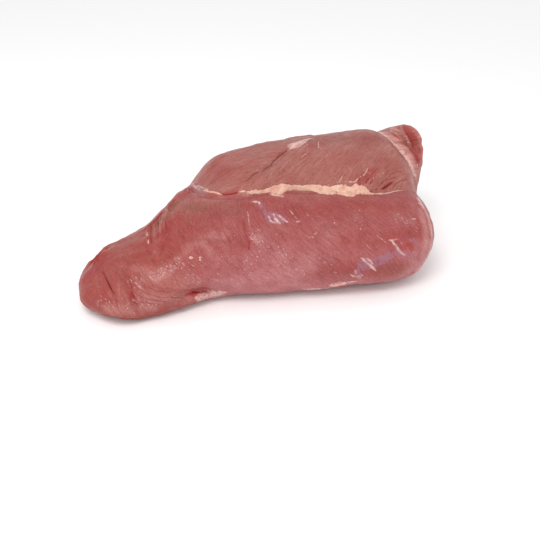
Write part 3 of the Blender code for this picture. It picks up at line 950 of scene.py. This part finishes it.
class FleshLook(bpy.types.PropertyGroup):
    """How the flesh is made and coloured"""

    voxel: length_property("Face size", "Size of the faces of the flesh", 1.75, 0.5)
    softening: bpy.props.IntProperty(
        name="Softening", description="How often the skin is softened", default=8, min=0, max=40
    )
    bundle_height: length_property("Bundle height", "Height of the fibre bundles", 0.3)
    swell_height: length_property("Swell height", "Height of the slow unevenness", 0.9)
    front_colour: colour_property("Front", "front muscle", "#944A48")
    upper_colour: colour_property("Upper", "upper muscle", "#975950")
    # Lighter low on the front face: partly the muscle's own tone, partly painted bounce light from below
    low_colour: colour_property("Low", "low part of the front face", "#AB6768")
    tail_colour: colour_property("Tail", "tail", "#903D35")
    tan_colour: colour_property("Tan", "drier places", "#864A3D")
    pale_colour: colour_property("Pale", "pale skin", "#BD837D")
    # The rolled end's salmon-pink rim, painted lighter where it lies in shade: partly its own colour, partly
    # painted light
    rosy_colour: colour_property("Rosy", "bright rim of the rolled end", "#B0605D")
    red_colour: colour_property("Red", "bright red places", "#983A36")
    # The gash's own crimson, painted lighter as painted light where the groove lies in shade
    vivid_colour: colour_property("Vivid", "inside of the gash", "#B23A36")
    flush_colour: colour_property("Flush", "redder places", "#8C2F2B")
    blood_colour: colour_property("Blood", "deep red places", "#8A1C1C")
    slit_colour: colour_property("Slit", "depths of the slits", "#64150F")
    silver_colour: colour_property("Silverskin", "silverskin", "#966273")
    # Also the colour of the painted glints, pale specks painted into the flesh as highlights
    white_colour: colour_property("White", "thick white skin", "#D4AFA9")
    fat_colour: colour_property("Fat", "fat patches", "#DCA996")


class FatLook(bpy.types.PropertyGroup):
    """How the fat, the threads and the scraps are made and coloured"""

    voxel: length_property("Face size", "Size of the faces of the fat", 0.6, 0.3)
    overlap: length_property("Overlap", "How far the fat spreads over the rim of its bed", 1.2)
    sinking: length_property("Sinking", "How far the fat sinks outside its visible outline", 2.2)
    raggedness: bpy.props.FloatProperty(
        name="Raggedness", description="How uneven its edges are, in pixels", default=1.1, min=0.0
    )
    lump_height: length_property("Lump height", "Height of the lumps on it", 0.8)
    fat_colour: colour_property("Fat", "fat", "#D6AD98")
    flush_colour: colour_property("Flush", "fat's rosy patches", "#C48773")
    # Also the colour of two pale streaks that are painted highlights
    thread_colour: colour_property("Threads", "white threads", "#D2A9A3")
    scrap_colour: colour_property("Scraps", "scraps", "#D09C98")


class StageLook(bpy.types.PropertyGroup):
    """The floor's colour and the light"""

    floor_colour: colour_property("Floor", "floor", "#FAFAFA")
    world_strength: bpy.props.FloatProperty(
        name="World", description="Strength of the light from all round", default=0.92, min=0.0
    )
    key_power: power_property("Key", "Power of the main light", 4.7)
    fill_power: power_property("Fill", "Power of the light from the front", 1.5)
    side_power: power_property("Side", "Power of the light from the left", 1.2)


class VEAL_OT_flesh(bpy.types.Operator):
    """Makes the flesh from the CAD model's meat"""

    bl_idname = "veal.flesh"
    bl_label = "Flesh"

    def execute(self, context):
        look = context.scene.veal_flesh
        meat, seam_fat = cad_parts["meat"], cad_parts["seam_fat"]
        surface = Surface(meat, seam_fat)
        paths = [surface.along(pixels) for *_, pixels in RELIEFS]

        # The bed of the seam fat is filled, a little below the fat's top, so that the fat lies on flesh
        filling = merged_copy(seam_fat, "filling")
        places = vertex_places(filling.data)
        normals = vertex_normals(filling.data)
        places += normals * (1, 1, 0) * FILLING_GROWTH
        places[:, 2] -= np.where(normals[:, 2] > 0, *FILLING_SINKING)
        move_vertices(filling.data, places)
        flesh = picked(merged_copy(meat, "flesh"), filling)
        bpy.ops.object.join()
        remeshed(flesh, look.voxel, look.softening)
        for reach, thin in SPLITS:
            spots = [
                path
                for (kind, half_width, *_), path in zip(RELIEFS, paths)
                if kind not in SOFT_KINDS and half_width < thin
            ]
            split_near(flesh, np.concatenate(spots), reach)

        mesh = flesh.data
        places = vertex_places(mesh)
        normals = vertex_normals(mesh)
        grain = fibre_places(places)
        height, fields = marked(places, paths)
        x, y, z = places.T
        bundles = sum(
            amount * blobs(grain * (1, squeeze, 1), size, seed) for amount, squeeze, size, seed in BUNDLES
        )
        tail_roughness = 1 + TAIL_UNEVENNESS * smooth_step(*TAIL_SPAN, x)
        swells = layered(places, *WIDE_SWELLS) + layered(places, *SMALL_SWELLS) * tail_roughness
        calm = 1 - np.clip(np.maximum(fields["fat"], fields["silver"]), 0, 1)
        height += bundles * look.bundle_height / MM * calm + swells * look.swell_height / MM
        places += normals * (height * smooth_step(*RELIEF_HEIGHTS, z))[:, None]
        places[:, 2] = np.maximum(places[:, 2], 0)
        move_vertices(mesh, places)

        below = smooth_step(*SIDE_HEIGHTS, z)
        behind = behind_seam(places) + layered(places, UPPER_WAVES) + below * layered(places, SIDE_WAVES)
        start, full = UPPER_BEHIND
        widening = SIDE_WIDENING * below
        upper = smooth_step(start - widening, full + widening, behind) * smooth_step(*UPPER_ALONG, x)
        # Low on the front the tone gets lighter: partly the muscle's own tone, partly painted bounce light
        # from below
        low = smooth_step(*LOW_HEIGHTS, z + layered(places, LOW_WAVES)) * smooth_step(*LOW_ALONG, x)
        fields["upper"] = upper
        fields["low"] = low * (1 - upper)
        fields["tail"] = smooth_step(*TAIL_ALONG, x + layered(places, TAIL_WAVES))
        # Wetness makes the skin glossier and gathers the painted glints
        fields["wet"] = np.zeros(len(places))
        for half_width, strength, pixels in WET_ZONES:
            path = surface.along(pixels)
            chosen = near_path(places, path, half_width)
            wetness = strength * smooth_step(0, 1, closeness(places[chosen], path, half_width))
            fields["wet"][chosen] = np.maximum(fields["wet"][chosen], wetness)
        set_attribute(mesh, "grain", grain * MM)
        for name, values in fields.items():
            set_attribute(mesh, name, values)
        mesh.materials.append(veal_flesh(look))
        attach(flesh, "root")
        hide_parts("meat")
        return {"FINISHED"}


class VEAL_OT_seam_fat(bpy.types.Operator):
    """Makes the strip of fat that lies in the seam"""

    bl_idname = "veal.seam_fat"
    bl_label = "Seam fat"

    def execute(self, context):
        look = context.scene.veal_fat
        skin = Surface(bpy.data.objects["flesh"])
        fat = merged_copy(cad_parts["seam_fat"], "seam_fat_strip")
        remeshed(fat, look.voxel, FAT_SOFTENING)
        mesh = fat.data
        places = vertex_places(mesh)
        normals = vertex_normals(mesh)
        places += normals * (1, 1, 0) * look.overlap / MM
        across, down = skin.pixels(places)
        uneven = look.raggedness * layered(places, *FAT_EDGE_NOISES)
        upper, lower = [np.interp(across, *np.array(edge).T) for edge in (FAT_UPPER_EDGE, FAT_LOWER_EDGE)]
        shown = smooth_step(*FAT_SHOWN, np.minimum(down - upper, lower - down) + uneven)
        lumps = look.lump_height / MM * layered(places, *FAT_LUMP_NOISES)
        top = smooth_step(*FAT_FACING_UP, normals[:, 2])
        places[:, 2] += top * (shown * (FAT_RISE + lumps) - (1 - shown) * look.sinking / MM)
        move_vertices(mesh, places)
        mesh.materials.append(soft_tissue("Raw veal fat", look.fat_colour, look.flush_colour, *FAT_SKIN))
        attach(fat, "root")
        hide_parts("seam_fat")
        return {"FINISHED"}


class VEAL_OT_threads(bpy.types.Operator):
    """Makes the white threads that lie on the flesh, two of them pale streaks that are painted highlights"""

    bl_idname = "veal.threads"
    bl_label = "Threads"

    def execute(self, context):
        skin = Surface(bpy.data.objects["flesh"])
        threads = []
        for half_width, pixels in THREADS:
            path = skin.along(pixels)
            last = len(path) - 1
            bpy.ops.mesh.primitive_cylinder_add(
                vertices=THREAD_SIDES, radius=1, depth=2, end_fill_type="TRIFAN"
            )
            thread = context.object
            bpy.ops.object.mode_set(mode="EDIT")
            bpy.ops.mesh.select_all(action="SELECT")
            for i in range(1, last):
                bpy.ops.mesh.bisect(plane_co=(0, 0, 2 * i / last - 1), plane_no=(0, 0, 1))
                bpy.ops.mesh.select_all(action="SELECT")
            bpy.ops.object.mode_set(mode="OBJECT")
            # The cylinder is still 1 in radius and from -1 to 1 high, and it is laid along the path
            places = vertex_places(thread.data) * MM
            station = (places[:, 2] + 1) / 2 * last
            moved = np.empty_like(places)
            for j, (place, here) in enumerate(zip(places, station)):
                i = min(int(here + 0.5), last)
                ahead = path[min(i + 1, last)] - path[max(i - 1, 0)]
                out = np.array(skin.outward(path[i]))
                side = np.cross(ahead, out)
                side /= np.linalg.norm(side)
                swelling = math.sqrt(math.sin(math.pi * i / last))
                size = half_width * (THREAD_TIP + (1 - THREAD_TIP) * swelling)
                size *= 1 + THREAD_UNEVENNESS * noise.noise(Vector(path[i]))
                height = THREAD_HEIGHT * size / half_width
                moved[j] = path[i] + side * place[0] * size + out * (place[1] * height)
            move_vertices(thread.data, moved)
            threads.append(thread)
        joined = picked(*threads)
        bpy.ops.object.join()
        joined.name = "white_threads"
        bpy.ops.object.mode_set(mode="EDIT")
        bpy.ops.mesh.select_all(action="SELECT")
        bpy.ops.mesh.normals_make_consistent(inside=False)
        bpy.ops.object.mode_set(mode="OBJECT")
        bpy.ops.object.shade_smooth()
        look = context.scene.veal_fat
        material = soft_tissue("White connective tissue", look.thread_colour, look.flush_colour, *THREAD_SKIN)
        joined.data.materials.append(material)
        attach(joined, "root")
        return {"FINISHED"}


class VEAL_OT_fat_scraps(bpy.types.Operator):
    """Makes the scraps of fat on the flesh"""

    bl_idname = "veal.fat_scraps"
    bl_label = "Fat scraps"

    def execute(self, context):
        skin = Surface(bpy.data.objects["flesh"])
        chance = random.Random(LUMP_SEED)
        lumps = []
        for radius, pixel in LUMPS:
            spot = skin.at(*pixel)
            bpy.ops.mesh.primitive_ico_sphere_add(subdivisions=3, radius=radius * MM)
            lump = context.object
            turn = skin.outward(spot).to_track_quat("Z", "Y").to_matrix()
            places = vertex_places(lump.data)
            unevenness = blobs(places, radius * LUMP_FEATURES, chance.uniform(*LUMP_NOISE_SEEDS))
            places *= (1 + LUMP_UNEVENNESS * unevenness)[:, None]
            places *= (1.0, chance.uniform(*LUMP_WIDTHS), LUMP_FLATNESS)
            move_vertices(lump.data, places @ np.array(turn).T + spot)
            lumps.append(lump)
        scraps = picked(*lumps)
        bpy.ops.object.join()
        scraps.name = "fat_scraps"
        bpy.ops.object.shade_smooth()
        look = context.scene.veal_fat
        material = soft_tissue("Scraps of raw fat", look.scrap_colour, look.flush_colour, *SCRAP_SKIN)
        scraps.data.materials.append(material)
        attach(scraps, "root")
        return {"FINISHED"}


class VEAL_OT_stage(bpy.types.Operator):
    """Makes the floor, the lights, the pale surroundings and the camera"""

    bl_idname = "veal.stage"
    bl_label = "Stage"

    def execute(self, context):
        look = context.scene.veal_stage
        scene = context.scene
        bpy.ops.mesh.primitive_plane_add(size=FLOOR_SIZE)
        floor = context.object
        floor.name = "floor"
        material, add = new_material("Matt white paper")
        surface = add("BsdfDiffuse", {"Color": look.floor_colour})
        add("OutputMaterial", {"Surface": surface.outputs[0]})
        floor.data.materials.append(material)

        world = bpy.data.worlds.new("Pale surroundings")
        world.use_nodes = True
        background = world.node_tree.nodes["Background"]
        background.inputs["Color"].default_value = (1, 1, 1, 1)
        background.inputs["Strength"].default_value = look.world_strength
        scene.world = world

        for name, power, size, place in LIGHTS:
            lamp = bpy.data.lights.new(name, "AREA")
            lamp.energy = getattr(look, power)
            lamp.size = size
            light = bpy.data.objects.new(name, lamp)
            light.location = place
            light.rotation_euler = (Vector(LIGHT_TARGET) - Vector(place)).to_track_quat("-Z", "Y").to_euler()
            scene.collection.objects.link(light)

        camera = bpy.data.cameras.new("Camera")
        camera.lens = CAMERA_LENS
        camera.sensor_width = CAMERA_SENSOR
        camera.clip_start = CAMERA_CLIP
        holder = bpy.data.objects.new("Camera", camera)
        holder.location = CAMERA_PLACE
        holder.rotation_euler = [math.radians(a) for a in CAMERA_TURN]
        scene.collection.objects.link(holder)
        scene.camera = holder
        scene.view_settings.view_transform = "Standard"
        return {"FINISHED"}


class VEAL_PT_panel(bpy.types.Panel):
    """Lists the pieces of the meat"""

    bl_idname = "VEAL_PT_panel"
    bl_label = "Veal bottom round"
    bl_space_type = "VIEW_3D"
    bl_region_type = "UI"
    bl_category = "Veal"

    def draw(self, context):
        for operator in OPERATORS:
            self.layout.operator(operator.bl_idname)


OPERATORS = (VEAL_OT_flesh, VEAL_OT_seam_fat, VEAL_OT_threads, VEAL_OT_fat_scraps, VEAL_OT_stage)
CLASSES = (FleshLook, FatLook, StageLook, *OPERATORS, VEAL_PT_panel)


def register():
    for cls in CLASSES:
        bpy.utils.register_class(cls)
    bpy.types.Scene.veal_flesh = bpy.props.PointerProperty(type=FleshLook)
    bpy.types.Scene.veal_fat = bpy.props.PointerProperty(type=FatLook)
    bpy.types.Scene.veal_stage = bpy.props.PointerProperty(type=StageLook)


def unregister():
    del bpy.types.Scene.veal_stage
    del bpy.types.Scene.veal_fat
    del bpy.types.Scene.veal_flesh
    for cls in reversed(CLASSES):
        bpy.utils.unregister_class(cls)


def main():
    register()
    bpy.ops.veal.flesh()
    bpy.ops.veal.seam_fat()
    bpy.ops.veal.threads()
    bpy.ops.veal.fat_scraps()
    bpy.ops.veal.stage()


if __name__ == "__main__":
    main()
